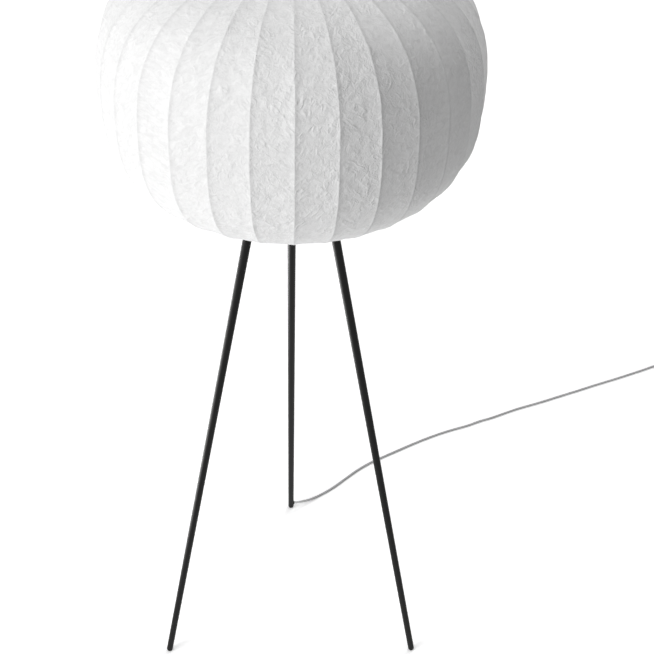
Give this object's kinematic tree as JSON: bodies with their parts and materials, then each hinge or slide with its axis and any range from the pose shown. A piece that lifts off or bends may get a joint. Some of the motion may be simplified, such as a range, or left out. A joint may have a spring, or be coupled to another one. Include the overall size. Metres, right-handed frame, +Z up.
{
  "type": "paper lantern floor lamp",
  "caption": "Floor lamp with a squashed round paper lantern shade on three slim splayed legs, with a corded foot switch.",
  "frame": {"origin": "on the floor, under the shade's axis", "axes": "+Z up, -Y towards the front, where two legs stand, +X to the right; the third leg stands at +Y"},
  "size_m": [1.2948, 1.0825, 1.3515],
  "materials": {
    "paper": "crinkled handmade paper, matt",
    "black_lacquer": "satin powder coat",
    "black_nylon": "smooth",
    "white_wire": "satin white",
    "zinc_steel": "zinc plated",
    "holder_plastic": "moulded",
    "terminal_ceramic": "unglazed",
    "brass": "plain",
    "opal_glass": "opal",
    "cord_textile": "braided",
    "core_pvc": "smooth",
    "switch_plastic": "fine texture",
    "pin_nickel": "nickel plated"
  },
  "bodies": {
    "lamp": {"foot_front_left": "black_nylon", "foot_front_right": "black_nylon", "foot_rear": "black_nylon", "leg_front_left": "black_lacquer", "leg_front_right": "black_lacquer", "leg_rear": "black_lacquer", "leg_grub_screws": "zinc_steel", "hub_body": "black_lacquer", "hub_cover": "black_lacquer", "hub_cover_screws": "zinc_steel", "nipple": "zinc_steel", "nipple_nuts": "zinc_steel", "lampholder_cap": "holder_plastic", "lampholder_sleeve": "holder_plastic", "terminal_block": "terminal_ceramic", "lamp_screw_shell": "brass", "centre_contact": "brass", "shade_support_ring": "holder_plastic", "shade_clamp_ring": "holder_plastic", "spider_ring": "white_wire", "spider_arm_front": "white_wire", "spider_arm_right": "white_wire", "spider_arm_left": "white_wire", "bottom_ring": "white_wire", "top_ring": "white_wire", "rib_wires": "white_wire", "paper_gores": "paper", "bulb_glass": "opal_glass", "bulb_cap": "pin_nickel", "bulb_insulator": "black_nylon", "bulb_contact": "pin_nickel", "outlet_bush": "black_nylon", "cord_end": "cord_textile", "lead_cores": "core_pvc", "floor_cord": "cord_textile", "switch_inlet_relief": "switch_plastic", "switch_outlet_relief": "switch_plastic", "switch_base": "switch_plastic", "switch_cover": "switch_plastic", "switch_screws": "zinc_steel", "switch_spring": "zinc_steel", "switch_terminals": "terminal_ceramic", "switch_lead": "cord_textile", "cord_coil": "cord_textile", "plug_relief": "switch_plastic", "plug_body": "switch_plastic", "plug_pins": "pin_nickel", "pin_sleeves": "switch_plastic"},
    "push_button": {"switch_button": "switch_plastic"}
  },
  "joints": [
    {"name": "switch_press", "type": "slide", "parent": "lamp", "child": "push_button", "axis": [0, 0, -1], "range_m": [0, 0.004], "stiffness_N_per_m": 1250, "springref_m": -0.0024, "deforming": ["switch_spring"]}
  ]
}
